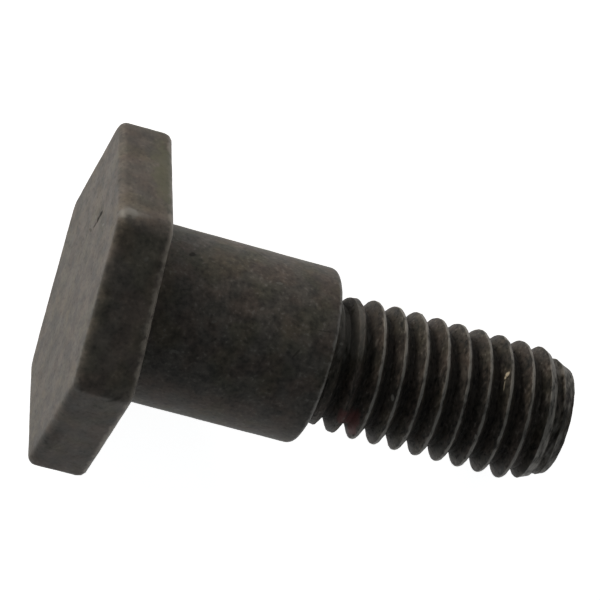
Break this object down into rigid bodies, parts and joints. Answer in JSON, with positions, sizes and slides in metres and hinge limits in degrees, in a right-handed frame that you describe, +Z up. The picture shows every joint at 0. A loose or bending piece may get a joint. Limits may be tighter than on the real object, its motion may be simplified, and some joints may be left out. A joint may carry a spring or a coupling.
{
  "type": "t slot bolt",
  "caption": "Black steel T-slot bolt lying on its side, with a thin hexagonal head, a plain round shank and a thinner coarse-threaded end.",
  "frame": {"origin": "on the floor that the bolt lies on, below the middle of its bounding box", "axes": "+X runs level from the head towards the tip, +Z is up, +Y lies across; the bolt's own axis dips towards the tip by the angle at which it rests"},
  "size_m": [0.0298, 0.0192, 0.0171],
  "materials": {
    "black_steel": "forged and blackened, dull, with lighter worn edges"
  },
  "bodies": {
    "root": {"t_slot_bolt": "black_steel"}
  },
  "joints": []
}
